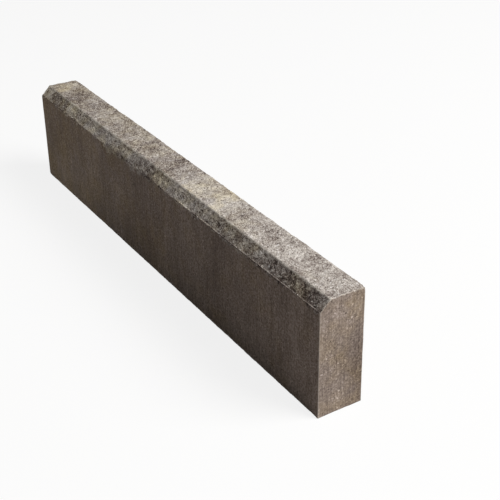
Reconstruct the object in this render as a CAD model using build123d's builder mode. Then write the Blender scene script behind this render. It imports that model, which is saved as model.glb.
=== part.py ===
from build123d import *
import os

# A concrete kerb stone, pressed in one piece in a steel mould: a long upright block with one
# long top edge chamfered. Sizes are in millimetres. The origin is the centre of the base,
# +X runs along the stone, the chamfered road side faces -Y and +Z is up.

# Overall size of the block
stone_length = 1000.0
stone_width = 80.0
stone_height = 200.0

# Chamfer of the road side, measured from the corner that it takes away
chamfer_width = 19.0
chamfer_drop = 17.0

# Level land along the foot of the chamfer, where the press shoe runs clear of the mould wall
land_width = 1.2

# Radii of the edges that the press shoe forms, at the crest of the chamfer and at the back
crest_radius = 3.0
tread_arris_radius = 1.6

# Radii of the edges that the mould box forms, along the base and around both ends
base_arris_radius = 1.2
end_arris_radius = 0.8

# Places that follow from the sizes above
road_side = -stone_width / 2
back_side = stone_width / 2
first_end = -stone_length / 2
chamfer_foot = stone_height - chamfer_drop

section_corners = [
    (road_side, 0),
    (back_side, 0),
    (back_side, stone_height),
    (road_side + chamfer_width, stone_height),
    (road_side + land_width, chamfer_foot),
    (road_side, chamfer_foot),
]

with BuildPart() as kerb_stone:
    # Section across the stone, carried along its whole length
    with BuildSketch(Plane.YZ.offset(first_end)):
        with BuildLine():
            Polyline(section_corners, close=True)
        make_face()
    extrude(amount=stone_length)

    # Long edges at the top of the stone: the crest and the back of the tread
    long_edges = kerb_stone.edges().filter_by(Axis.X).group_by(Axis.Z)
    top_edges = long_edges[-1].sort_by(Axis.Y)
    base_edges = long_edges[0]
    fillet(top_edges[0], crest_radius)
    fillet(top_edges[-1], tread_arris_radius)
    fillet(base_edges, base_arris_radius)

    # Edges around both ends
    end_faces = kerb_stone.faces().filter_by(Axis.X)
    fillet(end_faces.edges(), end_arris_radius)

kerb_stone.part.label = "kerb_stone"

os.makedirs("parts", exist_ok=True)
export_step(kerb_stone.part, "parts/kerb_stone.step")
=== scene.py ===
"""A pressed concrete kerb stone on a plain studio floor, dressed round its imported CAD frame.

The stone is one closed surface. Its section is a profile of straight faces and round corners,
carried along the stone, and both ends close in rings on a pole. Seeded noise then presses that
surface inwards: grains, pits and lumps on the tread and chamfer, shallow streaks on the moulded
faces and crumbled edges. The same noise fills the vertex attributes that the material reads.
"""

import logging
import math
from dataclasses import dataclass
from enum import Enum
from functools import partial
from itertools import product

import bpy
import numpy as np
from mathutils import Matrix, Vector


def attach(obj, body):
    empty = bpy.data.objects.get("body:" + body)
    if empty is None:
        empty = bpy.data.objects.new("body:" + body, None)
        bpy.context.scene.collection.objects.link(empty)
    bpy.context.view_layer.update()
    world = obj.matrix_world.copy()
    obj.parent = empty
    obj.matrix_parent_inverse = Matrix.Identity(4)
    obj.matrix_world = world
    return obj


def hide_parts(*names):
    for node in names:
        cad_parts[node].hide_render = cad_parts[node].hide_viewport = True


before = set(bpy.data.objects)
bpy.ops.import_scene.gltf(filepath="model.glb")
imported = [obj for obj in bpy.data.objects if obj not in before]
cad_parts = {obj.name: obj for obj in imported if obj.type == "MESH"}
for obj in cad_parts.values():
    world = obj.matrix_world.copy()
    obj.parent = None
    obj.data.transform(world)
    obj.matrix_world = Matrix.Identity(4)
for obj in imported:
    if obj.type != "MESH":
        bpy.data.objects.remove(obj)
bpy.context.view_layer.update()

LOG = logging.getLogger("kerb_stone")
MM = 0.001
Array = np.ndarray
Span = tuple[float, float]
Triple = tuple[float, float, float]
Feed = bpy.types.NodeSocket | bpy.types.Node | float


def linear(hex_colour: str) -> tuple[float, float, float, float]:
    """Turns an sRGB hex colour to linear light.

    Formula: a channel of c becomes c / 12.92 up to 0.04045 and ((c + 0.055) / 1.055)^2.4 above.

    Args:
        hex_colour: six hex digits with a leading #.

    Returns:
        Red, green, blue and an alpha of 1.
    """
    channels = (int(hex_colour[i : i + 2], 16) / 255 for i in (1, 3, 5))
    red, green, blue = (c / 12.92 if c <= 0.04045 else ((c + 0.055) / 1.055) ** 2.4 for c in channels)
    return red, green, blue, 1.0


def smooth_step(low: float, high: float, value: Array) -> Array:
    """Goes from 0 at low, which may be the larger, to 1 at high, by t^2 (3 - 2 t)."""
    way = np.clip((value - low) / (high - low), 0, 1)
    return way * way * (3 - 2 * way)


def bell(distance: Array, reach: float) -> Array:
    """A soft bump that is 1 at no distance: exp(-(distance / reach)^2)."""
    return np.exp(-((distance / reach) ** 2))


def blend(under: Array | float, over: Array | float, share: Array) -> Array:
    """Goes from one value to another as the share goes from 0 to 1."""
    return (1 - share) * under + share * over


def from_line(places: Array, y: float, z: float) -> Array:
    """How far each point is from the line along the stone at a given y and z."""
    return np.hypot(places[:, 1] - y, places[:, 2] - z)


class Lattice:
    """Random values tied to the corners of a lattice in space, from one seeded draw."""

    CELLS = 256
    SPREAD = 5.0  # brings the waves' usual size to about 1

    def __init__(self, seed: int) -> None:
        """Draws the order in which cells pick their values, and the values.

        Args:
            seed: what they are drawn from.
        """
        draw = np.random.default_rng(seed)
        self.order = np.tile(draw.permutation(self.CELLS), 2)
        directions = draw.normal(size=(self.CELLS, 3))
        self.directions = directions / np.linalg.norm(directions, axis=1, keepdims=True)
        self.centres = draw.random((self.CELLS, 3))
        self.heights = draw.random(self.CELLS)

    def pick(self, cell: Array) -> Array:
        """The number of the random value that each cell gets."""
        x, y, z = (cell % self.CELLS).T
        return self.order[self.order[self.order[x] + y] + z]

    def waves(self, places: Array, size: float | Triple) -> Array:
        """Gradient noise at some places.

        Formula: each corner of the cell that holds a place gives the dot product of its direction
        with the way from it, and these are blended along each axis by 6 t^5 - 15 t^4 + 10 t^3,
        with t the place's way through the cell.

        Args:
            places: points, one a row.
            size: of a cell, in the points' unit, alike or axis by axis.

        Returns:
            One value a point, mostly between -2 and 2.
        """
        scaled = places / np.asarray(size)
        cell = np.floor(scaled).astype(int)
        way = scaled - cell
        ease = way**3 * (way * (way * 6 - 15) + 10)
        total = np.zeros(len(places))
        for corner in product((0, 1), repeat=3):
            slope = (self.directions[self.pick(cell + corner)] * (way - corner)).sum(1)
            total += np.prod(np.where(corner, ease, 1 - ease), axis=1) * slope
        return total * self.SPREAD

    def grains(self, places: Array, size: float) -> tuple[Array, Array]:
        """Grains packed side by side.

        Formula: every cell holds one middle at a random place, and a point belongs to the nearest
        of those in its own cell and the 26 round it.

        Args:
            places: points, one a row.
            size: of a cell, and so of a usual grain, in the points' unit.

        Returns:
            Each point's way from its grain's middle, in sizes, and the grain's own height, 0 to 1.
        """
        scaled = places / size
        cell = np.floor(scaled).astype(int)
        nearest = np.full(len(places), np.inf)
        height = np.zeros(len(places))
        for corner in product((-1, 0, 1), repeat=3):
            pick = self.pick(cell + corner)
            away = np.linalg.norm(scaled - cell - corner - self.centres[pick], axis=1)
            height = np.where(away < nearest, self.heights[pick], height)
            nearest = np.minimum(away, nearest)
        return nearest, height


@dataclass(frozen=True)
class Ripple:
    """One layer of smooth noise."""

    size: float | Triple  # of its cells in mm, alike or along x, y and z
    spread: float  # how far its values usually lie from 0
    seed: int  # what its random values are drawn from

    APART = 71.3  # mm between the three parts of the noise that shake x, y and z

    def at(self, places: Array) -> Array:
        """This layer's value at some places."""
        return self.spread * Lattice(self.seed).waves(places, self.size)

    def shake(self, places: Array) -> Array:
        """The places, each moved along x, y and z by this noise."""
        return places + np.stack([self.at(places + self.APART * axis) for axis in range(3)], 1)


Ripples = tuple[Ripple, ...]


def layered(ripples: Ripples, places: Array) -> Array:
    """The sum of some layers of noise at some places."""
    return sum(ripple.at(places) for ripple in ripples)


class Side(Enum):
    """The stone's long faces, in order round the section."""

    BED = "bed"
    BACK = "back"
    TREAD = "tread"
    CHAMFER = "chamfer"
    LAND = "land"
    ROAD = "road side"


@dataclass(frozen=True)
class Corner:
    """A corner of the section and the face that leads on from it, in mm."""

    y: float  # place across the stone
    z: float  # height above the bed
    radius: float  # rounding, or 0 for a sharp corner
    turns: int  # spans round the corner
    side: Side  # the face that follows
    spans: int  # spans along that face
    crowding: float = 0.0  # 0 for even spans, up to 1 for spans that crowd at the face's ends


@dataclass(frozen=True)
class Outline:
    """The section as a closed row of points, from the bed round by the back, in mm."""

    places: Array  # y and z of each point
    outward: Array  # the outward normal at each point
    travel: Array  # way round the section to each point and back to the first
    sides: list[Side]  # the face that each span belongs to


@dataclass(frozen=True)
class KerbSection:
    """The kerb stone's section: an upright block with one top edge chamfered, in mm."""

    width: float = 80.0
    height: float = 200.0
    chamfer_width: float = 19.0
    chamfer_drop: float = 17.0
    land_width: float = 1.2
    crest_radius: float = 1.4
    tread_arris_radius: float = 1.6
    base_arris_radius: float = 1.2
    fin_radius: float = 1.0

    @property
    def half(self) -> float:
        """Half the width, which is the y of the back."""
        return self.width / 2

    @property
    def foot(self) -> Span:
        """y and z of the edge between the land at the chamfer's foot and the road side."""
        return -self.half, self.height - self.chamfer_drop

    @property
    def crest(self) -> Span:
        """y and z of the edge between tread and chamfer, before it is rounded."""
        return self.chamfer_width - self.half, self.height

    @property
    def chamfer_normal(self) -> Array:
        """Outward normal of the chamfer, as y and z."""
        normal = np.array([-self.chamfer_drop, self.chamfer_width - self.land_width])
        return normal / np.linalg.norm(normal)

    def under_chamfer(self, places: Array) -> Array:
        """How deep each point lies under the chamfer's plane."""
        return (np.array(self.crest) - places[:, 1:]) @ self.chamfer_normal

    def below_top(self, places: Array) -> Array:
        """How deep each point lies under the tread or the chamfer, whichever is nearer."""
        return np.minimum(self.height - places[:, 2], self.under_chamfer(places))

    def corners(self) -> list[Corner]:
        """Lists the section's corners.

        Returns:
            The corners, counter-clockwise as seen from the second end.
        """
        half, (foot_y, foot_z) = self.half, self.foot
        return [
            Corner(-half, 0, self.base_arris_radius, 2, Side.BED, 8),
            Corner(half, 0, self.base_arris_radius, 2, Side.BACK, 18, 0.6),
            Corner(half, self.height, self.tread_arris_radius, 3, Side.TREAD, 50),
            Corner(*self.crest, self.crest_radius, 4, Side.CHAMFER, 20),
            Corner(foot_y + self.land_width, foot_z, 0, 0, Side.LAND, 2),
            Corner(foot_y, foot_z, self.fin_radius, 3, Side.ROAD, 24, 0.75),
        ]

    def outline(self) -> Outline:
        """The section's points.

        Formula: a corner of radius r that turns by a starts r tan(a / 2) before its sharp point
        and goes round at even angles. Along a face, points lie at t for even spans, at
        (1 - cos(pi t)) / 2 for crowded ones, or at a mix of the two.

        Returns:
            The outline, with its normals pointing out of the stone.
        """
        corners = self.corners()
        sharp = np.array([(c.y, c.z) for c in corners])
        lead = np.roll(sharp, -1, 0) - sharp
        lead /= np.linalg.norm(lead, axis=1, keepdims=True)
        came = np.roll(lead, 1, 0)
        turn = np.arctan2(came[:, 0] * lead[:, 1] - came[:, 1] * lead[:, 0], (came * lead).sum(1))
        arcs, normals = [], []
        for corner, point, before, angle in zip(corners, sharp, came, turn, strict=True):
            start = math.atan2(-before[0], before[1])
            steps = np.arange(corner.turns + 1) / corner.turns if corner.turns else np.array([0.5])
            angles = start + angle * steps
            normal = np.stack([np.cos(angles), np.sin(angles)], 1)
            first = np.array([math.cos(start), math.sin(start)])
            centre = point - before * corner.radius * math.tan(angle / 2) - first * corner.radius
            arcs.append(centre + normal * corner.radius)
            normals.append(normal)
        places, outward, sides = [], [], []
        for i, corner in enumerate(corners):
            end, start = arcs[i][-1], arcs[(i + 1) % len(corners)][0]
            even = np.arange(1, corner.spans) / corner.spans
            way = blend(even, (1 - np.cos(np.pi * even)) / 2, corner.crowding)
            places += [arcs[i], end + way[:, None] * (start - end)]
            outward += [normals[i], np.tile([lead[i, 1], -lead[i, 0]], (len(way), 1))]
            sides += [corner.side] * (corner.turns + corner.spans)
        ring = np.concatenate(places)
        steps = np.linalg.norm(np.roll(ring, -1, 0) - ring, axis=1)
        return Outline(ring, np.concatenate(outward), np.append(0, np.cumsum(steps)), sides)


@dataclass(frozen=True)
class Skin:
    """The stone's surface before relief, as rings of points from one end to the other, in mm."""

    outline: Outline  # its section
    places: Array  # point by ring and by place round the section
    outward: Array  # the outward normal of each point
    along: Array  # each ring's way along the stone, unrolled over the end arrises
    capped: int  # how many rings lie flat on each end


@dataclass(frozen=True)
class KerbBlock:
    """The whole stone's smooth surface: the section carried along its length, in mm."""

    section: KerbSection = KerbSection()
    length: float = 1000.0
    end_radius: float = 0.8  # rounding of the edges round both ends
    end_turns: int = 2  # spans round such an edge
    stations: int = 660  # spans along the straight part
    end_rings: int = 24  # rings on each end face, inside its edge
    end_crowding: float = 1.5  # how much those rings crowd at the edge, from 1 for not at all

    def skin(self) -> Skin:
        """Carries the outline along the stone and closes it at both ends.

        Formula: round an end arris of radius r, at an angle a from the long faces, the outline
        goes in by r (1 - cos a), lies r (1 - sin a) from the end and its normals lean by a. On
        the end it shrinks to the middle by 1 - t^c, with t from 0 at the edge to 1 at the pole
        and c the crowding.

        Returns:
            The surface from the first end's innermost ring to the second end's.
        """
        outline = self.section.outline()
        reach = self.length / 2 - self.end_radius
        angles = np.linspace(np.pi / 2, 0, self.end_turns + 1)
        straight = np.linspace(-reach, reach, self.stations + 1)[1:-1]
        ends, level = np.ones(len(angles)), np.zeros(len(straight))
        lean = np.concatenate([angles, level, angles[::-1]])
        side = np.concatenate([-ends, level, ends])
        x = np.concatenate([-reach * ends, straight, reach * ends])

        def rings(along: Array, across: Array) -> Array:
            """Puts one x a ring before the y and z of its points."""
            x_column = np.broadcast_to(along[:, None, None], across.shape[:2] + (1,))
            return np.concatenate([x_column, across], 2)

        inset = (self.end_radius * (1 - np.cos(lean)))[:, None, None] * outline.outward
        places = rings(x + side * self.end_radius * np.sin(lean), outline.places - inset)
        outward = rings(side * np.sin(lean), np.cos(lean)[:, None, None] * outline.outward)
        way = np.arange(1, self.end_rings) / self.end_rings
        caps, facing = [], []
        for sign, edge, cap_way in ((-1, places[0], way[::-1]), (1, places[-1], way)):
            centre = np.array([edge[0, 0], 0, self.section.height / 2])
            caps.append(centre + (1 - cap_way**self.end_crowding)[:, None, None] * (edge - centre))
            facing.append(np.broadcast_to([float(sign), 0, 0], caps[-1].shape))
        capped = np.full(self.end_rings - 1, self.length / 2)
        return Skin(
            outline,
            np.concatenate([caps[0], places, caps[1]]),
            np.concatenate([facing[0], outward, facing[1]]),
            np.concatenate([-capped, x + side * self.end_radius * lean, capped]),
            self.end_rings,
        )


@dataclass(frozen=True)
class Patch:
    """A patch of darker or paler mix on the tread or the chamfer, in mm."""

    x: float  # its middle along the stone
    reach: float  # half its length along the stone
    shade: float  # how much it changes the tone, below 0 for darker
    across: float | None = None  # where it is strongest, -1 chamfer to 1 back, or None for all over


@dataclass(frozen=True)
class Stain:
    """A cloud of rust from iron in the stone chips, in mm."""

    place: Triple  # its middle
    reach: Triple  # its half size
    share: float  # how strong it is, up to 1


@dataclass(frozen=True)
class Wash:
    """A change that comes in over spans of x, y and z, each from where it is none to full."""

    share: float = 1.0  # how strong it is in full
    x: Span | None = None
    y: Span | None = None
    z: Span | None = None

    def at(self, places: Array) -> Array:
        """Its strength at some places: the share times the smooth step of each axis with a span."""
        spans = enumerate((self.x, self.y, self.z))
        return self.share * math.prod(smooth_step(*span, places[:, i]) for i, span in spans if span)


@dataclass(frozen=True)
class ColourMix:
    """How tones and tints are spread over the stone, in mm.

    A tone goes from 0 for the darkest mix to 1 for the palest, and a tint from 0 for purple-grey
    to 1 for olive.
    """

    tread_tone: float = 0.60  # usual tone of the tread
    tread_drift: float = 0.07  # how much paler the tread is at the second end than at the middle
    tread_end: float = 0.14  # how much darker the tread is along its ends
    tread_end_span: Span = (24, 4)  # from how far in that starts, and where it is full
    chamfer_tone: float = 0.62
    chamfer_drift: float = -0.06
    low_chamfer: Wash = Wash(0.12, x=(220, 300), z=(195, 187))  # darker low down, second end
    drift_reach: float = 300.0  # how far from the middle the drifts are full
    band_tone: float = 0.62  # usual tone of the face mix where it shows on an end
    foot_dirt: float = 0.35  # how much darker the land at the chamfer's foot is
    dirt_reach: float = 1.6
    tread: tuple[Patch, ...] = (
        Patch(-466, 24, 0.26, -0.6),
        Patch(-412, 34, -0.26, -0.5),
        Patch(-105, 36, -0.16),
        Patch(0, 34, -0.24),
        Patch(90, 22, 0.24, -0.5),
        Patch(166, 18, 0.24),
        Patch(322, 18, -0.10),
        Patch(402, 26, -0.16),
    )
    chamfer: tuple[Patch, ...] = (
        Patch(-438, 22, -0.33),
        Patch(-36, 30, -0.12),
        Patch(75, 32, 0.09),
        Patch(395, 72, -0.22),
    )
    slant: float = 0.4  # how far a patch leans back along the stone for each mm across
    patch_side: float = 35.0  # how far from the middle a patch on one side of the tread lies
    patch_fade: Span = (2.0, 0.4)  # distance across at which it is gone and full, in patch sides
    wander: Ripples = (Ripple(34, 7, 11), Ripple(12, 4, 12))  # what shifts a patch's edges
    mottle: Ripples = (Ripple(30, 0.066, 13), Ripple(11, 0.056, 14))  # small clouds in the mix
    chamfer_mottle: float = 0.4  # how much stronger they are on the chamfer
    grain_shade: float = 0.20  # how much paler the proudest grain is than the lowest
    pit_painted_shade: float = 0.20  # painted shade: how much darker a torn-out pit is
    rubbed_grey: Wash = Wash(x=(200, 400))  # where the face mix is rubbed even and grey
    rubbed_calm: float = 0.5  # how much weaker that makes the grain of the tread
    core_tone: float = 0.5  # usual tone of the core concrete
    clouds: Ripples = (Ripple((64, 64, 190), 0.05, 15), Ripple((20, 20, 70), 0.035, 16))
    end_clouds: Ripples = (Ripple(60, 0.06, 17), Ripple((20, 16, 34), 0.045, 18))
    painted_end_shade: Wash = Wash(0.34, y=(-12, 36), z=(175, 85))  # painted shade: the second end darker low down at the back
    painted_fill_light: Wash = Wash(0.22, x=(-120, -400), z=(120, 10))  # painted light: the road side paler low down by the first end
    tint: Ripples = (Ripple(60, 0.12, 19), Ripple(18, 0.11, 20))  # clouds of olive and purple
    tint_spread: Triple = (1.1, 0.5, -0.6)  # their strength, more on face mix, less on the tread
    own_tint: float = 0.22  # usual tint
    end_tint: float = 0.24  # how much more olive the core is on an end
    tread_tint: float = -0.04
    chamfer_tint: float = 0.18
    grey_tint: float = -0.30
    cream: float = 2.2  # how much more olive a pale patch of the tread is, for each tone
    far_tint: float = 0.33  # how much more olive the first end is, and less so the second
    far_mixed: float = 0.7  # how much weaker that is on the face mix
    far_reach: float = 450.0  # how far from the middle it is full
    rust: tuple[Stain, ...] = (
        Stain((-470, -40, 45), (24, 20, 20), 0.5),
        Stain((-205, -40, 178), (14, 12, 6), 0.6),
        Stain((500, 24, 170), (9, 15, 15), 0.7),
        Stain((500, -3, 100), (9, 12, 11), 0.6),
        Stain((500, 22, 62), (9, 11, 9), 0.7),
        Stain((500, 30, 44), (9, 9, 9), 0.4),
        Stain((500, -30, 18), (9, 10, 9), 0.3),
    )

    def patches(self, places: Array, patches: tuple[Patch, ...]) -> Array:
        """Sums some patches at some places.

        Formula: each is a bell along the stone whose middle leans with the place across and
        wanders with noise, and it fades away from its own side.

        Args:
            places: points in mm.
            patches: the patches.

        Returns:
            The change of tone at each point.
        """
        x, y = places[:, 0], places[:, 1]
        shifted = x + self.slant * y + layered(self.wander, places)
        total = np.zeros(len(places))
        for patch in patches:
            shade = patch.shade * bell(shifted - patch.x, patch.reach)
            if patch.across is not None:
                shade *= smooth_step(*self.patch_fade, np.abs(y / self.patch_side - patch.across))
            total += shade
        return total


@dataclass(frozen=True)
class EdgeWear:
    """How an edge has crumbled, in mm."""

    reach: float  # how far from the edge
    crumbs: float  # depth of the small crumbs that it lost
    chips: float  # depth of the rarer, larger chips


@dataclass(frozen=True)
class Rub:
    """Where an edge is rubbed pale."""

    share: float  # how pale
    reach: float  # how far from the edge, in mm
    steady: float  # share of it that doesn't break into spots

    def at(self, away: Array, spots: Array) -> Array:
        """Its strength at a distance: a bell of it, as strong as the spots in its unsteady part."""
        return self.share * bell(away, self.reach) * (self.steady + (1 - self.steady) * spots)


@dataclass(frozen=True)
class MixBand:
    """How far down the sides and ends the face mix reaches, in mm."""

    ragged: Ripples = (Ripple(7, 1.5, 29), Ripple(24, 1.3, 30))  # fine and coarse noise
    depth: float = 1.4  # usual depth on the sides
    end_depth: float = 1.4  # how much more that is on the ends
    worn_depth: float = 3.8  # how much more it is where the chamfer's foot is worn
    softness: float = 1.2  # half the height over which it fades out
    worn_softness: float = 4.6  # how much more that is where the foot is worn
    rubbed: float = 0.75  # how much of it is rubbed off the lowest part of the chamfer there
    rubbed_span: Span = (7, -1)  # from and to which height over the foot
    rubbed_ragged: Span = (2.2, -2.0)  # how the fine and the coarse noise lift that height


@dataclass(frozen=True)
class Fin:
    """The thin fin that the press squeezes up along the chamfer's foot, in mm."""

    noise: Ripples = (Ripple(2.8, 0.42, 34), Ripple(9, 0.32, 35), Ripple(38, 0.8, 36))
    height: float = 0.8
    usual: float = 0.42  # share of the height that it usually has
    most: float = 1.3  # share that it never passes
    lasting: Span = (-0.25, 0.4)  # coarsest noise at which it is broken off and whole
    first_end: float = 0.45  # how strong it is from the first end to the middle
    stronger: Span = (50, 320)  # from and to which x it grows to full strength
    across: Span = (0.9, 0.3)  # distance from the road side at which it starts and is full
    root: Span = (-0.9, -0.1)  # the same upwards, from the foot's height
    slack: float = 0.01  # how far over the foot a point still counts as below it
    pale: float = 0.65  # how pale it is, partly its pale skin and partly a painted highlight
    pale_height: Span = (0.2, 0.75)  # height at which that starts and is full


@dataclass(frozen=True)
class Relief:
    """What the press, the mould and handling leave on the stone's surface, in mm."""

    seed: int = 41  # what the grains are drawn from
    grain_size: float = 4.2  # usual size of a grain of the face mix, or a clump of them
    grain_depth: float = 0.42  # how deep the gaps between grains are
    grain_power: float = 1.5  # how its height falls with the way from its middle
    pit_span: Span = (0.07, 0.035)  # heights, from 0 to 1, at which grains start to be torn and are
    pit_depth: float = 0.38
    press_limit: float = 0.5  # how far a rough face may stand above its usual level
    waves: Ripples = (Ripple(90, 0.12, 21), Ripple(24, 0.15, 22), Ripple(8.5, 0.15, 23))
    crest_dense: float = 0.65  # how much shallower all that is at the crest, pressed dense
    dense_reach: float = 5.0
    streaks: Ripple = Ripple((3.2, 3.2, 110), 0.03, 24)  # what the mould draws upright
    mould_waves: Ripples = (Ripple(90, 0.08, 25), Ripple(9, 0.03, 26))
    bed_waves: Ripples = (Ripple(24, 0.18, 27), Ripple(9, 0.16, 28))  # left by the pallet
    jag: Ripple = Ripple(2.8, 0.7, 42)  # what makes the grains irregular
    round_reach: float = 4.0  # how far under an edge the press turns from face to face
    band: MixBand = MixBand()
    fin: Fin = Fin()
    worn_x: float = -98.0  # middle of the stretch where the chamfer's foot is rubbed round
    worn_span: Span = (112, 82)  # how far from there the foot is whole and fully rubbed
    foot_radius: float = 12.0  # rounding of the foot there
    crumbs: Ripple = Ripple(5.5, 0.8, 31)
    clumps: Ripple = Ripple(16, 0.5, 32)  # makes crumbs come in clumps
    clump_limit: float = 1.2
    chips: Ripple = Ripple(15, 0.8, 33)
    chip_limit: float = 0.9  # noise above which there are chips
    chip_rough: float = 0.4  # how much of the crumbs a chip has
    crest: EdgeWear = EdgeWear(2.6, 0.42, 0.0)
    back: EdgeWear = EdgeWear(4.0, 0.45, 0.6)
    end_top: EdgeWear = EdgeWear(3.2, 0.5, 0.6)
    upright: EdgeWear = EdgeWear(3.2, 0.12, 0.3)
    base: EdgeWear = EdgeWear(3.6, 0.15, 0.5)
    foot: EdgeWear = EdgeWear(8.0, 0.45, 0.5)
    corner: EdgeWear = EdgeWear(8.0, 1.3, 0.4)
    spots: Span = (-0.3, 0.9)  # crumb noise at which a rubbed edge is in its own colour and pale
    grain_spots: float = 0.4  # how much the height of a grain adds to that noise
    crest_rub: Rub = Rub(0.9, 1.5, 0.35)
    crest_shift: Span = (-0.9, -0.6)  # y and z from the crest to the middle of its pale line
    rim_rub: Rub = Rub(0.5, 1.6, 0.3)
    # painted highlight up the ends' upright edges
    upright_highlight: Rub = Rub(0.35, 1.6, 1.0)


@dataclass(frozen=True)
class Surface:
    """Points of the stone's smooth surface, one a row."""

    places: Array  # in mm
    outward: Array  # their normals

    FACING = 0.5  # a point faces some way where its normal's part that way is above this
    END_TURN = (0.4, 0.8)  # parts of the normal at which an end starts and is full
    TOP_TURN = (0.1, 0.5)  # the same upwards, for tread and chamfer
    TREAD_TURN = (0.76, 0.88)  # the same, for the tread alone
    BED_TURN = (0.5, 0.9)  # the same downwards

    @property
    def on_end(self) -> Array:
        """How much each point belongs to an end, from 0 to 1."""
        return smooth_step(*self.END_TURN, np.abs(self.outward[:, 0]))

    @property
    def on_top(self) -> Array:
        """How much each point belongs to tread or chamfer, from 0 to 1."""
        return smooth_step(*self.TOP_TURN, self.outward[:, 2])

    @property
    def on_tread(self) -> Array:
        """How much each point belongs to the tread, from 0 on the chamfer to 1."""
        return smooth_step(*self.TREAD_TURN, self.outward[:, 2])

    @property
    def on_bed(self) -> Array:
        """How much each point belongs to the bed, from 0 to 1."""
        return smooth_step(*self.BED_TURN, -self.outward[:, 2])


@dataclass(frozen=True)
class Points(Surface):
    """The surface's points, and what each of them is made of."""

    mixed: Array  # how much the face mix shows, from 0 to 1
    gap: Array  # way from the middle of the point's grain, in grain sizes
    proud: Array  # the grain's own height, from 0 to 1

    @property
    def rise(self) -> Array:
        """How much higher each point's grain is than a middling one, from -0.5 to 0.5."""
        return self.proud - 0.5


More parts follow.
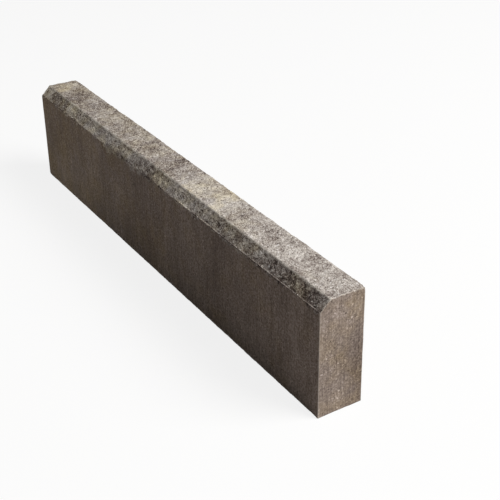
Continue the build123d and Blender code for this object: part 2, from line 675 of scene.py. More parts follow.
@dataclass(frozen=True)
class KerbStone:
    """The kerb stone: builds its mesh and gives it the attributes that its concrete reads."""

    block: KerbBlock = KerbBlock()
    relief: Relief = Relief()
    mix: ColourMix = ColourMix()

    NAME = "kerb_stone_surface"
    BODY = "root"
    NODE = "kerb_stone"
    SLOT = "pressed_concrete"
    BAKE_MAP = "OFBake"  # the map onto which the stone's colours are laid out for baking
    MAP_ROWS = (  # sides, rows that they take and the height of a row, in map sizes
        ((Side.TREAD, Side.CHAMFER, Side.LAND), 2, 0.150),
        ((Side.ROAD,), 2, 0.160),
        ((Side.BACK,), 1, 0.150),
        ((Side.BED,), 1, 0.060),
    )
    MAP_END_ROW = 0.14  # height of the row with both ends
    MAP_MARGIN = 0.004  # free on each side of what a row holds

    @property
    def section(self) -> KerbSection:
        """The stone's section."""
        return self.block.section

    def to_end(self, places: Array) -> Array:
        """How far each point is from the nearer end, in mm."""
        return self.block.length / 2 - np.abs(places[:, 0])

    def foot_worn(self, places: Array) -> Array:
        """How much the chamfer's foot is rubbed round beside each point, from 0 to 1."""
        return smooth_step(*self.relief.worn_span, np.abs(places[:, 0] - self.relief.worn_x))

    def torn_out(self, proud: Array) -> Array:
        """How much grains of some heights are torn out: the lowest ones, from 0 to 1."""
        return smooth_step(*self.relief.pit_span, proud)

    def face_mix(self, skin: Surface) -> Array:
        """Where the gritty face mix shows, from 0 on the mould faces to 1 on tread and chamfer.

        Formula: it rises with how far up a face looks, and on the sides and ends it shows in
        a band below the top that noise makes 0 to 6 mm deep. Where the chamfer's foot is worn,
        the band is deeper and softer, and the chamfer's lowest part is rubbed smooth in places.

        Args:
            skin: the smooth surface's points.

        Returns:
            One value a point.
        """
        band, places, (end_part, _, up_part) = self.relief.band, skin.places, skin.outward.T
        worn = self.foot_worn(places) * (np.abs(end_part) < skin.FACING)
        fine, coarse = (ripple.at(places) for ripple in band.ragged)
        depth = band.depth + band.end_depth * skin.on_end + band.worn_depth * worn
        depth += fine + (1 + worn) * coarse
        softness = band.softness + band.worn_softness * worn
        shown = smooth_step(softness, -softness, self.section.below_top(places) - depth)
        fine_lift, coarse_lift = band.rubbed_ragged
        above_foot = places[:, 2] - self.section.foot[1] + fine_lift * fine + coarse_lift * coarse
        rubbed = band.rubbed * worn * smooth_step(*band.rubbed_span, above_foot)
        return np.maximum(skin.on_top * (1 - rubbed), shown * (up_part > -skin.FACING))

    def crumbled(self, places: Array) -> Array:
        """How deep crumbs and chips go at the edges, in mm.

        Formula: crumbs are the size of a fine noise, more where a coarser one is high, and chips
        are what of a coarse noise is above a limit. Each edge weights both by its own depths and
        by (1 - d)^2, with d the distance to it in its reaches. Where the foot is worn, an arc of
        radius r that touches both faces t from the corner adds (t - s)^2 / 2 r at a distance s.

        Args:
            places: points in mm.

        Returns:
            One depth a point, at least 0.
        """
        size, section, (y, z) = self.relief, self.section, places.T[1:]
        half, top = section.half, section.height
        fine = np.abs(size.crumbs.at(places))
        crumbs = fine + np.clip(size.clumps.at(places), 0, size.clump_limit)
        chips = size.chip_rough * fine + np.clip(size.chips.at(places) - size.chip_limit, 0, 1)
        end, side = self.to_end(places), half - np.abs(y)
        worn, to_foot = self.foot_worn(places), from_line(places, *section.foot)
        edges = (
            (size.corner, 1.0, np.linalg.norm(np.stack([end, y - half, z - top]), axis=0)),
            (size.crest, 1.0, from_line(places, *section.crest)),
            (size.back, 1.0, from_line(places, half, top)),
            (size.end_top, 1.0, np.hypot(end, np.maximum(section.below_top(places), 0))),
            (size.upright, 1.0, np.hypot(end, side)),
            (size.base, 1.0, np.hypot(z, np.minimum(end, side))),
            (size.foot, worn, to_foot),
        )
        touch = size.foot_radius * math.tan(math.acos(-section.chamfer_normal[0]) / 2)
        total = worn * np.clip(touch - to_foot, 0, None) ** 2 / (2 * size.foot_radius)
        for wear, share, away in edges:
            fade = np.clip(1 - away / wear.reach, 0, 1) ** 2
            total += share * fade * (wear.crumbs * crumbs + wear.chips * chips)
        return total

    def pressed_from(self, places: Array) -> Array:
        """The way out of the stone along which each point is pressed in.

        Formula: each face adds its own normal, weighted from 1 on the face to 0 at the rounding
        reach under it, and the sum is brought to length 1. So the way turns slowly near an edge,
        and a press deeper than the edge's own rounding doesn't fold the surface.

        Args:
            places: points on the smooth surface, in mm.

        Returns:
            One direction a point.
        """
        section, (x, y, z) = self.section, places.T
        walls = (
            (self.to_end(places), np.sign(x)[:, None] * [1, 0, 0]),
            (section.height - z, np.array([0, 0, 1])),
            (z, np.array([0, 0, -1])),
            (section.half - y, np.array([0, 1, 0])),
            (section.half + y, np.array([0, -1, 0])),
            (section.under_chamfer(places), np.array([0, *section.chamfer_normal])),
        )
        total = np.zeros_like(places)
        for depth, normal in walls:
            total += np.clip(1 - depth / self.relief.round_reach, 0, 1)[:, None] * normal
        return total / np.linalg.norm(total, axis=1, keepdims=True)

    def depth(self, points: Points) -> Array:
        """How far each point is pressed in, in mm.

        Formula: the face mix is grains that fall off with a power of the way from their middles,
        each with its own height and the lowest torn out, on waves of three sizes. Mould faces
        have weak waves and noise drawn out upright into streaks, and the bed has stronger waves.
        The press cuts off what would stand above its limit, and each part is shifted so that its
        highest point stays on the smooth surface. The face mix is denser by a bell of the
        distance to the crest. Worn edges come on top.

        Args:
            points: the surface's points.

        Returns:
            One depth a point, at least 0.
        """
        size, places = self.relief, points.places
        grains = size.grain_depth * (points.gap**size.grain_power - points.rise)
        rough = np.maximum(layered(size.waves, places) + grains, -size.press_limit)
        rough += size.pit_depth * self.torn_out(points.proud)
        dense = 1 - size.crest_dense * bell(from_line(places, *self.section.crest), size.dense_reach)
        drawn = size.streaks.at(places) + layered(size.mould_waves, places)
        bed = np.maximum(layered(size.bed_waves, places), -size.press_limit)
        smooth = blend(drawn, bed, points.on_bed)
        pressed = blend(smooth - smooth.min(), dense * (rough - rough.min()), points.mixed)
        return pressed + self.crumbled(places)

    def fin(self, places: Array) -> Array:
        """Height of the thin fin that the press squeezes up along the chamfer's foot, in mm.

        Formula: two noises along the stone make it ragged, and a third breaks it into lengths.
        It is stronger towards the second end and gone where the foot is worn.

        Args:
            places: points in mm.

        Returns:
            One height a point, at least 0.
        """
        fin, (foot_y, foot_z) = self.relief.fin, self.section.foot
        fine, coarse, broken = (ripple.at(places * [1, 0, 0]) for ripple in fin.noise)
        ragged = np.clip(fin.usual + fine + coarse, 0, fin.most)
        lasting = smooth_step(*fin.lasting, broken) * (1 - self.foot_worn(places))
        stronger = blend(fin.first_end, 1, smooth_step(*fin.stronger, places[:, 0]))
        on_fin = smooth_step(*fin.across, places[:, 1] - foot_y)
        above = places[:, 2] - foot_z
        on_fin *= smooth_step(*fin.root, above) * (above < fin.slack)
        return fin.height * ragged * lasting * stronger * on_fin

    def tone(self, points: Points) -> Array:
        """Tone of the concrete, from 0 for its darkest mix to 1 for its palest.

        Formula: tread and chamfer have their own tone with a drift and patches, darker along the
        ends of the tread, low on the chamfer by the second end and with dirt on the land. Small
        clouds come on top, and each grain's shade by its height, with painted shade in torn-out
        pits, all weaker where the tread is rubbed grey. The core has clouds alone, with painted
        shade low down at the back of the second end and painted light low down on the road side
        by the first end.

        Args:
            points: the surface's points.

        Returns:
            One value a point.
        """
        mix, places, on_tread, on_end = self.mix, points.places, points.on_tread, points.on_end
        along = np.clip(places[:, 0] / mix.drift_reach, -1, 1)
        tread = mix.tread_tone + mix.tread_drift * along + mix.patches(places, mix.tread)
        tread -= mix.tread_end * smooth_step(*mix.tread_end_span, self.to_end(places))
        chamfer = mix.chamfer_tone + mix.chamfer_drift * along + mix.patches(places, mix.chamfer)
        faced = blend(chamfer - mix.low_chamfer.at(places), tread, on_tread)
        faced -= mix.foot_dirt * bell(from_line(places, *self.section.foot), mix.dirt_reach)
        faced = blend(faced, mix.band_tone, on_end)
        faced += (1 + mix.chamfer_mottle * (1 - on_tread)) * layered(mix.mottle, places)
        calm = 1 - mix.rubbed_calm * on_tread * mix.rubbed_grey.at(places)
        grain = mix.grain_shade * points.rise
        # painted shade darkens the torn-out pits
        faced += calm * (grain - mix.pit_painted_shade * self.torn_out(points.proud))

        clouds = blend(layered(mix.clouds, places), layered(mix.end_clouds, places), on_end)
        core = mix.core_tone + clouds
        # painted shade low down at the back of the second end
        core -= mix.painted_end_shade.at(places) * (points.outward[:, 0] > points.FACING)
        # painted light low down on the road side by the first end
        core += mix.painted_fill_light.at(places) * (points.outward[:, 1] < -points.FACING)
        return np.clip(blend(core, faced, points.mixed), 0, 1)

    def warmth(self, points: Points) -> Array:
        """Tint of the concrete, from 0 for purple-grey by 0.5 for olive brown to 1 for rust.

        Formula: it falls evenly from the first end to the second, with clouds. The end faces, the
        chamfer and pale patches are warmer, and the face mix is greyer where it is rubbed grey. A
        rust stain is a bell of the distance to its middle, shifted by the patches' fine noise.

        Args:
            points: the surface's points.

        Returns:
            One value a point.
        """
        mix, places, mixed, on_tread = self.mix, points.places, points.mixed, points.on_tread
        own, more, less = mix.tint_spread
        clouds = (own + more * mixed + less * on_tread) * layered(mix.tint, places)
        pale = np.maximum(mix.patches(places, mix.tread), 0)
        olive = mix.own_tint + (mix.cream * pale + mix.tread_tint) * on_tread
        olive += mix.end_tint * points.on_end * (1 - mixed)
        olive += mixed * (mix.chamfer_tint * (1 - on_tread) + mix.grey_tint * mix.rubbed_grey.at(places))
        along = np.clip(places[:, 0] / mix.far_reach, -1, 1)
        olive += clouds - mix.far_tint * (1 - mix.far_mixed * mixed) * along
        shaken = mix.wander[1].shake(places)
        rust = sum(
            stain.share * bell(np.linalg.norm((shaken - stain.place) / stain.reach, axis=1), 1.0)
            for stain in mix.rust
        )
        return np.clip((np.clip(olive, 0, 1) + rust) / 2, 0, 1)

    def worn(self, points: Points, height: Array) -> Array:
        """Where an edge or the fin is rubbed pale or carries a painted highlight, from 0 to 1.

        Formula: a line just on the chamfer's side of the crest and one round the top of each end,
        both broken into spots by the crumbs' noise, a steady painted highlight up the ends' upright
        edges, and the fin by its height, partly pale skin and partly painted highlight.

        Args:
            points: the surface's points.
            height: how high the fin stands on each point, in mm.

        Returns:
            One value a point.
        """
        size, section, places = self.relief, self.section, points.places
        noise = size.crumbs.at(places) + size.grain_spots * points.rise
        spots, end = smooth_step(*size.spots, noise), self.to_end(places)
        middle = np.add(section.crest, size.crest_shift)
        on_end = np.abs(points.outward[:, 0]) > points.FACING
        under = np.where(on_end, section.below_top(places), section.height - places[:, 2])
        pale = size.crest_rub.at(from_line(places, *middle), spots)
        pale += size.rim_rub.at(np.hypot(end, np.maximum(under, 0)), spots)
        # painted highlight up the ends' upright edges
        pale += size.upright_highlight.at(np.hypot(end, section.half - np.abs(places[:, 1])), spots)
        # the fin's paleness is partly a painted highlight
        return np.clip(pale + size.fin.pale * smooth_step(*size.fin.pale_height, height), 0, 1)

    def faces(self, rings: int, around: int) -> tuple[Array, Array]:
        """Point numbers of the surface's faces.

        Args:
            rings: how many rings the surface has.
            around: how many points a ring has.

        Returns:
            The four-sided faces between the rings, and the triangles that close on the poles,
            which are numbered after the last ring.
        """
        here = np.arange(around)
        after = (here + 1) % around
        ring = np.arange(rings - 1)[:, None] * around
        quads = np.stack([ring + here, ring + after, ring + after + around, ring + here + around], -1)
        last, pole = (rings - 1) * around, np.full(around, rings * around)
        first_fan = np.stack([after, here, pole], 1)
        second_fan = np.stack([last + here, last + after, pole + 1], 1)
        return quads.reshape(-1, 4), np.concatenate([first_fan, second_fan])

    def unrolled(self, skin: Skin, places: Array, quads: Array, fans: Array) -> Array:
        """Lays the faces out on the bake map.

        Formula: a long face takes one or two rows of the map. In a row, u is the way along
        the stone from the row's start to its end and v the way round the section. The two
        ends lie side by side in the top row, u upright and v across the stone.

        Args:
            skin: the smooth surface.
            places: its points and poles, one a row.
            quads: point numbers of its four-sided faces.
            fans: point numbers of the poles' triangles.

        Returns:
            u and v of each corner of the four-sided faces, then of the triangles.
        """
        outline, margin = skin.outline, self.MAP_MARGIN
        start, tall, rows, base, lift = table = np.zeros((5, len(outline.sides), 1))
        floor = 0.0
        for sides, count, height in self.MAP_ROWS:
            held = np.array([side in sides for side in outline.sides])
            stretch = (height - 2 * margin) / np.diff(outline.travel)[held].sum()
            first = outline.travel[:-1][held].min()
            table[:, held, 0] = np.array([[first, stretch, count, floor + margin, height]]).T
            floor += height * count
        ring, place = np.arange(len(skin.along) - 1)[:, None, None], np.arange(len(rows))[:, None]
        along = skin.along[ring + [0, 0, 1, 1]]
        second = (along.mean(-1, keepdims=True) > 0) & (rows == 2)
        half = self.block.length / 2 + self.block.end_radius
        length = 2 * half / rows
        u = margin + (1 - 2 * margin) * (along + half - second * length) / length
        travelled = outline.travel[place + [0, 1, 1, 0]] - start
        v = base + second * lift + travelled * tall

        def on_end(spots: Array) -> Array:
            """Lays points of an end face out on the bake map.

            Args:
                spots: the points, in mm.

            Returns:
                u and v of each.
            """
            upright = margin + spots[..., 2] / self.section.height * (0.5 - 2 * margin)
            across = spots[..., 1] / self.section.width + 0.5
            v_end = floor + margin + across * (self.MAP_END_ROW - 2 * margin)
            return np.stack([upright + 0.5 * (spots[..., 0] > 0), v_end], -1)

        on_cap = (ring < skin.capped - 1) | (ring >= len(skin.along) - skin.capped)
        flat_end = on_end(places[quads]).reshape(*u.shape, 2)
        long_faces = np.where(on_cap[..., None], flat_end, np.stack([u, v], -1))
        return np.concatenate([long_faces.reshape(-1, 2), on_end(places[fans]).reshape(-1, 2)])

    def build(self, concrete: bpy.types.Material) -> bpy.types.Object:
        """Makes the stone's mesh, dresses it and puts it in the place of its CAD node.

        Args:
            concrete: the stone's material.

        Returns:
            The finished piece.
        """
        skin = self.block.skin()
        poles = np.array([[x, 0, self.section.height / 2] for x in skin.places[[0, -1], 0, 0]])
        places = np.concatenate([skin.places.reshape(-1, 3), poles])
        outward = np.concatenate([skin.outward.reshape(-1, 3), np.sign(poles) * [1, 0, 0]])
        jagged = self.relief.jag.shake(places)
        grains = Lattice(self.relief.seed).grains(jagged, self.relief.grain_size)
        points = Points(places, outward, self.face_mix(Surface(places, outward)), *grains)
        height = self.fin(places)
        pressed = places - self.pressed_from(places) * self.depth(points)[:, None]
        pressed[:, 2] += height

        quads, fans = self.faces(*skin.places.shape[:2])
        mesh = bpy.data.meshes.new(self.NAME)
        mesh.from_pydata((pressed * MM).tolist(), [], quads.tolist() + fans.tolist())
        corners = self.unrolled(skin, places, quads, fans)
        uv_map = mesh.uv_layers.new(name=self.BAKE_MAP)
        uv_map.uv.foreach_set("vector", corners.astype(np.float32).ravel())
        fields = {
            "face_mix": points.mixed,
            "tone": self.tone(points),
            "warmth": self.warmth(points),
            # worn also holds painted highlights
            "worn": self.worn(points, height),
        }
        for name, values in fields.items():
            attribute = mesh.attributes.new(name, "FLOAT", "POINT")
            attribute.data.foreach_set("value", values.astype(np.float32))
        mesh.shade_smooth()
        mesh.materials.append(concrete)
        piece = link_object(self.NAME, mesh)
        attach(piece, self.BODY)
        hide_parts(self.NODE)
        return piece


def link_object(name: str, data: bpy.types.ID, matrix: Matrix | None = None) -> bpy.types.Object:
    """Puts a new object into the scene.

    Args:
        name: its name.
        data: its mesh, camera or lamp.
        matrix: where it stands and how it is turned, or None for the origin.

    Returns:
        The object.
    """
    holder = bpy.data.objects.new(name, data)
    if matrix:
        holder.matrix_world = matrix
    bpy.context.collection.objects.link(holder)
    return holder


def empty_tree(owner: bpy.types.Material | bpy.types.World) -> bpy.types.NodeTree:
    """Turns nodes on and empties their tree.

    Args:
        owner: the material or the world that gets the nodes.

    Returns:
        The empty tree.
    """
    owner.use_nodes = True
    owner.node_tree.nodes.clear()
    return owner.node_tree


def add_node(
    tree: bpy.types.NodeTree, kind: str, inputs: dict | None = None, **settings: object
) -> bpy.types.Node:
    """Adds a node with its settings and links.

    Args:
        tree: the tree that gets the node.
        kind: the node's type, after "ShaderNode".
        inputs: for each input, by name or number, a value, or the output that feeds it, or the
            node whose first output does.
        settings: the node's own properties, with stops for a ramp's positions and colours.

    Returns:
        The node.
    """
    node = tree.nodes.new("ShaderNode" + kind)
    stops = settings.pop("stops", ())
    for name, value in settings.items():
        setattr(node, name, value)
    for i, (position, colour) in enumerate(stops):
        ramp = node.color_ramp.elements
        stop = ramp[i] if i < len(ramp) else ramp.new(position)
        stop.position = position
        stop.color = colour
    for key, value in (inputs or {}).items():
        if isinstance(value, bpy.types.Node):
            value = value.outputs[0]
        if isinstance(value, bpy.types.NodeSocket):
            tree.links.new(value, node.inputs[key])
        else:
            node.inputs[key].default_value = value
    return node


def grey(value: float) -> tuple[float, float, float, float]:
    """A colour whose three channels are one linear value."""
    return value, value, value, 1.0


@dataclass(frozen=True)
class Finish:
    """What the layers of a finish add up to in its shader."""

    shade: Feed  # its tone, 0 for the usual darkest and 1 for the usual palest
    height: Feed  # its fine relief in mm, or 0.0 before the first layer


@dataclass(frozen=True)
class Speckle:
    """A layer of smooth noise in a finish."""

    size: Triple  # its size along x, y and z, in mm
    shade: float  # how much paler its highest place is than its lowest
    height: float  # how much higher it is, in mm
    detail: float  # how many finer layers it has
    roughness: float  # how strong those are

    TURN = (0.6, 0.4, 0.9)  # turns the noise's own lattice, so that no rows show on the faces

    def add(self, tree: bpy.types.NodeTree, place: Feed, so_far: Finish) -> Finish:
        """Adds the layer to a finish.

        Args:
            tree: the material's tree.
            place: Object coordinates in mm.
            so_far: the finish under it.

        Returns:
            The finish with this layer.
        """
        node = partial(add_node, tree)
        scale = tuple(1 / size for size in self.size)
        squeezed = node("Mapping", {"Vector": place, "Scale": scale, "Rotation": self.TURN})
        strength = {"Scale": 1.0, "Detail": self.detail, "Roughness": self.roughness}
        noise = node("TexNoise", {"Vector": squeezed, **strength})
        even = node("Math", {0: noise, 1: 0.5}, operation="SUBTRACT")
        parts = ((self.shade, so_far.shade), (self.height, so_far.height))
        return Finish(*(node("Math", {0: even, 1: share, 2: under}, operation="MULTIPLY_ADD")
                        for share, under in parts))


@dataclass(frozen=True)
class Grit:
    """A layer of single grains, stones or holes in a finish, each with its own size and shade."""

    spacing: float  # usual way from one to the next, in mm
    reach: float  # the largest one's radius, as a share of the spacing
    darkest: float  # shade of the darkest
    palest: float  # shade of the palest
    height: float  # how far the proudest stands out, in mm, or below 0 for holes

    RIM = 0.6  # a grain's shade is full at this share of its radius and fades towards the rest
    # A grain's random number, and its shade from 0 for the darkest to 1 for the palest.
    KINDS = ((0.0, 0.0), (0.12, 0.32), (0.30, 0.46), (0.70, 0.56), (1.0, 1.0))

    def add(self, tree: bpy.types.NodeTree, place: Feed, so_far: Finish) -> Finish:
        """Adds the layer to a finish.

        Formula: a grain's radius is its own random number times the largest radius, so that all
        sizes up to it show. Most grains have a middle shade, and a few are much darker or paler.

        Args:
            tree: the material's tree.
            place: Object coordinates in mm, shaken so that grains come out angular.
            so_far: the finish under it.

        Returns:
            The finish with this layer.
        """
        node = partial(add_node, tree)
        grains = node("TexVoronoi", {"Vector": place, "Scale": 1 / self.spacing})
        own = node("SeparateColor", {"Color": grains.outputs["Color"]}).outputs
        away = node("Math", {0: grains.outputs["Distance"], 1: own[1]}, operation="DIVIDE")
        edge = {"Value": away, "From Min": self.reach, "From Max": self.RIM * self.reach}
        inside = node("MapRange", edge, interpolation_type="SMOOTHSTEP")
        kind = node("ValToRGB", {"Fac": own[0]}, stops=[(at, grey(level)) for at, level in self.KINDS])
        spread = {0: kind, 1: self.palest - self.darkest, 2: self.darkest}
        shade = node("Math", spread, operation="MULTIPLY_ADD")
        rise = node("Math", {0: own[2], 1: self.height}, operation="MULTIPLY")
        parts = ((shade, so_far.shade), (rise, so_far.height))
        return Finish(*(node("Math", {0: part, 1: inside, 2: under}, operation="MULTIPLY_ADD")
                        for part, under in parts))


@dataclass(frozen=True)
class ConcreteFace:
    """One finish of the concrete: its layers, and the colours that its tones stand for."""

    speckles: tuple[Speckle, ...]
    grit: tuple[Grit, ...]
    colours: tuple[tuple[float, str], ...]  # tones and their colours, in rising order

    def add(self, tree: bpy.types.NodeTree, place: Feed, shaken: Feed, tone: Feed) -> Finish:
        """Adds the finish to a tree.

        Args:
            tree: the material's tree.
            place: Object coordinates in mm.
            shaken: the same, shaken by fine noise.
            tone: the mesh's own tone.

        Returns:
            The finish, with its colour for a shade.
        """
        finish = Finish(tone, 0.0)
        for speckle in self.speckles:
            finish = speckle.add(tree, place, finish)
        for grit in self.grit:
            finish = grit.add(tree, shaken, finish)
        lowest, highest = self.colours[0][0], self.colours[-1][0]
        ends = {"From Min": lowest, "From Max": highest}
        way = add_node(tree, "MapRange", {"Value": finish.shade, **ends})
        stops = [((at - lowest) / (highest - lowest), linear(paint)) for at, paint in self.colours]
        return Finish(add_node(tree, "ValToRGB", {"Fac": way}, stops=stops), finish.height)


# Vibro-pressed face mix of crushed stone in two cement colours, as the press leaves it. To the
# eye it is a dry, gritty crust: angular pale and dark grains up to 3 mm in coarse sand, and
# clouds of anthracite and cream that run into each other.
FACE_MIX = ConcreteFace(
    speckles=(
        Speckle((6.5,) * 3, 0.55, 0.0, 2.0, 0.6),
        # Its sand is 0.5 to 1 mm, drawn coarser so that it shows.
        Speckle((2.15,) * 3, 2.4, 0.65, 2.0, 0.7),
    ),
    grit=(
        # Crushed stone is 1 to 3 mm, drawn at its coarse end to show.
        Grit(3.4, 0.66, -1.0, 0.9, 0.34),
        Grit(2.1, 0.66, -0.7, 0.7, 0.14),
    ),
    colours=(
        (-0.3, "#3B312C"),
        (0.0, "#534942"),
        (0.35, "#8C8175"),
        (0.6, "#B0A89B"),
        (1.0, "#E1DBCA"),
        (1.3, "#ECE8DE"),
    ),
)

# Vibro-pressed core concrete drawn out of a steel mould while it was green. To the eye it is
# a close, matt brown-grey face: fine upright drag lines, a sandy speckle, pale stones smeared
# flush and a few holes up to 3 mm.
MOULD_FACE = ConcreteFace(
    speckles=(
        Speckle((1.9, 1.9, 46.0), 0.88, 0.14, 2.0, 0.6),
        # Its sand is 0.5 to 2 mm, drawn coarser so that it shows.
        Speckle((3.4,) * 3, 1.9, 0.3, 3.0, 0.72),
    ),
    grit=(
        Grit(2.3, 0.66, -0.55, 0.45, 0.1),
        Grit(10.5, 0.22, 0.1, 0.9, 0.0),
        # Holes, dark with painted shade and sunk by the bump.
        Grit(8.5, 0.17, -1.2, -0.6, -1.2),
    ),
    colours=(
        # the lowest tone is mostly the painted shade in holes
        (-0.6, "#3D332B"),
        (0.0, "#6B5F56"),
        (0.5, "#968979"),
        (1.0, "#C5B7A8"),
        (1.5, "#E8DCCC"),
    ),
)


@dataclass(frozen=True)
class PressedConcrete:
    """Vibro-pressed concrete: one casting that shows its face mix above and its core below.

    Both are dry, porous and matt, so the shader is rough and its mirror part is turned down.
    """

    face_mix: ConcreteFace = FACE_MIX  # of tread and chamfer
    mould_face: ConcreteFace = MOULD_FACE  # of the sides and ends
    roughness: float = 0.92
    ior: float = 1.5  # that of its minerals
    specular: float = 0.1
    # What warmth multiplies the colour by: purple-grey, olive brown and rust.
    tints: tuple[tuple[float, str], ...] = ((0.0, "#F9F7FF"), (0.5, "#FFF7E6"), (1.0, "#FFDAC2"))
    laitance_and_highlight: str = "#D6CEC2"  # the pale cement skin of rubbed edges, also painted as highlight up the upright edges and on the fin
    seam_size: float = 2.5  # grain of the line between face mix and core, in mm
    seam_push: float = 0.8  # how much that noise adds to the mesh's own share of face mix
    seam_span: Span = (0.65, 1.15)  # sum at which face mix starts and is all that shows
    shake_size: float = 1.6  # grain of what makes grains angular, in mm
    shake: float = 4.5  # how far it moves them at most, in mm

    def build(self) -> bpy.types.Material:
        """Makes the material.

        Returns:
            The material, which reads the mesh's face_mix, tone, warmth and worn attributes.
        """
        material = bpy.data.materials.new("vibro_pressed_concrete")
        tree = empty_tree(material)
        node = partial(add_node, tree)
        own_place = node("TexCoord").outputs["Object"]
        place = node("VectorMath", {0: own_place, "Scale": 1 / MM}, operation="SCALE")
        mixed, tone, warmth, worn = (
            node("Attribute", attribute_name=name).outputs["Fac"]
            for name in ("face_mix", "tone", "warmth", "worn")
        )
        jitter, ragged = (
            node("TexNoise", {"Vector": place, "Scale": 1 / size, "Detail": 1.0})
            for size in (self.shake_size, self.seam_size)
        )
        moves = {0: jitter.outputs["Color"], 1: (self.shake,) * 3, 2: place}
        shaken = node("VectorMath", moves, operation="MULTIPLY_ADD")
        faced = self.face_mix.add(tree, place, shaken, tone)
        moulded = self.mould_face.add(tree, place, shaken, tone)
        pushed = node("Math", {0: ragged, 1: self.seam_push, 2: mixed}, operation="MULTIPLY_ADD")
        seam = {"Value": pushed, "From Min": self.seam_span[0], "From Max": self.seam_span[1]}
        share = node("MapRange", seam, interpolation_type="SMOOTHSTEP")
        colour = node("Mix", {0: share, 6: moulded.shade, 7: faced.shade}, data_type="RGBA")
        tint = node("ValToRGB", {"Fac": warmth}, stops=[(at, linear(c)) for at, c in self.tints])
        parts = {0: 1.0, 6: colour.outputs[2], 7: tint}
        tinted = node("Mix", parts, data_type="RGBA", blend_type="MULTIPLY")
        # worn also brings painted highlights on the upright edges and the fin
        parts = {0: worn, 6: tinted.outputs[2], 7: linear(self.laitance_and_highlight)}
        rubbed = node("Mix", parts, data_type="RGBA")
        height = node("Mix", {0: share, 2: moulded.height, 3: faced.height})
        bump = node("Bump", {"Height": height, "Distance": MM, "Strength": 1.0})
        inputs = {
            "Base Color": rubbed.outputs[2],
            "Roughness": self.roughness,
            "IOR": self.ior,
            "Specular IOR Level": self.specular,
            "Normal": bump,
        }
        node("OutputMaterial", {"Surface": node("BsdfPrincipled", inputs)})
        return material


@dataclass(frozen=True)
class PhotoCamera:
    """A camera at the photograph's viewing angle."""

    azimuth: float = 58.198  # degrees, 0 looking at the road side and 90 at the second end
    elevation: float = 26.861  # degrees above the floor
    roll: float = -0.771  # degrees that the picture leans
    distance: float = 1.94717  # from the lens to the point it aims at, in metres
    aim: Triple = (0.02561, 0.14364, 0.10648)  # that point, in metres
    focal: float = 1063.68  # focal length in pixels of the picture
    picture: float = 500.0  # side of the square picture, in pixels
    axis_row: float = 200.0  # row of the picture that the lens's axis meets
    sensor: float = 36.0  # in mm

    def build(self) -> bpy.types.Object:
        """Makes the camera the scene's own.

        Returns:
            The camera.
        """
        turn, rise, roll = map(math.radians, (self.azimuth, self.elevation, self.roll))
        level = Vector((math.cos(turn), math.sin(turn), 0))
        flat = math.cos(rise)
        back = Vector((math.sin(turn) * flat, -math.cos(turn) * flat, math.sin(rise)))
        right = level * math.cos(roll) + back.cross(level) * math.sin(roll)
        turned = Matrix((right, back.cross(right), back)).transposed().to_4x4()
        camera = bpy.data.cameras.new("photo_camera")
        camera.sensor_width = self.sensor
        camera.lens = self.focal / self.picture * self.sensor
        camera.shift_y = (self.axis_row - self.picture / 2) / self.picture
        place = Matrix.Translation(Vector(self.aim) + back * self.distance)
        holder = link_object("photo_camera", camera, place @ turned)
        bpy.context.scene.camera = holder
        return holder


@dataclass(frozen=True)
class SoftLamp:
    """A square soft lamp that faces a point."""

    name: str
    direction: Triple  # way from that point to the lamp
    distance: float  # in metres
    size: float  # side of the lamp, in metres
    power: float  # in watts
    aim: Triple = (0.0, 0.0, 0.1)  # the point, in metres

    def build(self) -> bpy.types.Object:
        """Makes the lamp.

        Returns:
            The lamp.
        """
        lamp = bpy.data.lights.new(self.name, "AREA")
        lamp.shape = "SQUARE"
        lamp.size = self.size
        lamp.energy = self.power
        way = Vector(self.direction).normalized()
        turned = way.to_track_quat("Z", "Y").to_matrix().to_4x4()
        place = Matrix.Translation(Vector(self.aim) + way * self.distance)
        holder = link_object(self.name, lamp, place @ turned)
        holder.visible_camera = False
        return holder


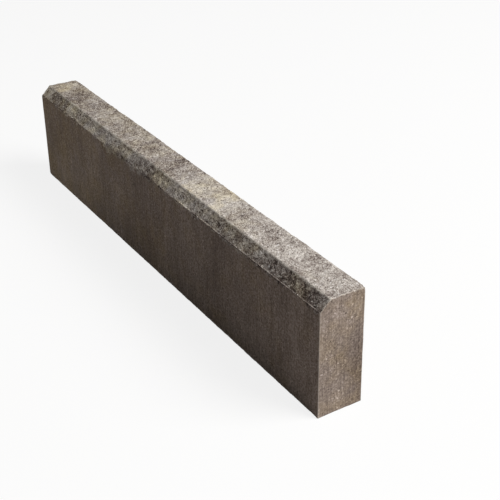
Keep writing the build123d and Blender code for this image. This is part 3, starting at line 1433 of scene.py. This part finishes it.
@dataclass(frozen=True)
class Studio:
    """A plain pale floor, one large soft lamp, a weak one and a weak even sky."""

    # The main lamp is behind the stone and to its right, and a weak one fills the road side from
    # beyond the first end.
    lamps: tuple[SoftLamp, ...] = (
        SoftLamp("main_lamp", (0.56, 0.45, 0.70), 6.0, 3.6, 480.0),
        SoftLamp("fill_lamp", (-0.55, -0.80, 0.18), 1.1, 0.5, 1.6, (-0.55, 0.0, 0.0)),
    )
    sky: float = 0.055  # strength of the light from all round
    floor_size: float = 16.0  # side of the floor, in metres
    floor_shows: float = 0.15  # share of its own shading that the camera sees over its white
    floor_colour: str = "#A5A09F"  # the floor as it lights the stone
    floor_face: str = "#F4F3F1"  # the floor's own colour to the camera

    def show_white(
        self, tree: bpy.types.NodeTree, shown: bpy.types.Node, lit: bpy.types.Node, output: str
    ) -> None:
        """Shows one shader to camera, glossy and transmission rays and another to the rest.

        Args:
            tree: the tree that gets the test for those rays.
            shown: the shader that is seen.
            lit: the shader that lights the stone.
            output: the kind of the tree's output.
        """
        path = add_node(tree, "LightPath").outputs
        seen = path["Is Camera Ray"]
        for kind in ("Is Glossy Ray", "Is Transmission Ray"):
            seen = add_node(tree, "Math", {0: seen, 1: path[kind]}, operation="MAXIMUM")
        both = add_node(tree, "MixShader", {0: seen, 1: lit, 2: shown})
        add_node(tree, output, {"Surface": both})

    def build_sky(self) -> None:
        """Gives the world a weak even light and a white look."""
        world = bpy.data.worlds.new("studio_sky")
        bpy.context.scene.world = world
        tree = empty_tree(world)
        even, white = (
            add_node(tree, "Background", {"Color": grey(1.0), "Strength": strength})
            for strength in (self.sky, 1.0)
        )
        self.show_white(tree, white, even, "OutputWorld")

    def build_floor(self) -> bpy.types.Object:
        """Makes the floor, which looks nearly white and keeps a faint shadow of the stone.

        Returns:
            The floor.
        """
        material = bpy.data.materials.new("matt_paper_floor")
        tree = empty_tree(material)
        paper, dull = (
            add_node(tree, "BsdfDiffuse", {"Color": linear(colour)})
            for colour in (self.floor_face, self.floor_colour)
        )
        white = add_node(tree, "Emission", {"Color": grey(1.0), "Strength": 1.0})
        shown = add_node(tree, "MixShader", {0: self.floor_shows, 1: white, 2: paper})
        self.show_white(tree, shown, dull, "OutputMaterial")
        half = self.floor_size / 2
        corners = [(-half, -half, 0), (half, -half, 0), (half, half, 0), (-half, half, 0)]
        mesh = bpy.data.meshes.new("studio_floor")
        mesh.from_pydata(corners, [], [(0, 1, 2, 3)])
        mesh.materials.append(material)
        floor = link_object("studio_floor", mesh)
        return floor


def main() -> None:
    """Builds the camera, the stone and the studio, and reports each."""
    logging.basicConfig(level=logging.INFO, format="%(name)s: %(message)s")
    bpy.context.scene.view_settings.view_transform = "Standard"
    camera = PhotoCamera().build()
    LOG.info("%s with a %.1f mm lens", camera.name, camera.data.lens)
    stone = KerbStone().build(PressedConcrete().build())
    stone.data.calc_loop_triangles()
    LOG.info("%s with %d triangles", stone.name, len(stone.data.loop_triangles))
    studio = Studio()
    studio.build_sky()
    for piece in (studio.build_floor(), *(lamp.build() for lamp in studio.lamps)):
        LOG.info("%s at %s", piece.name, tuple(round(v, 2) for v in piece.location))


if __name__ == "__main__":
    main()
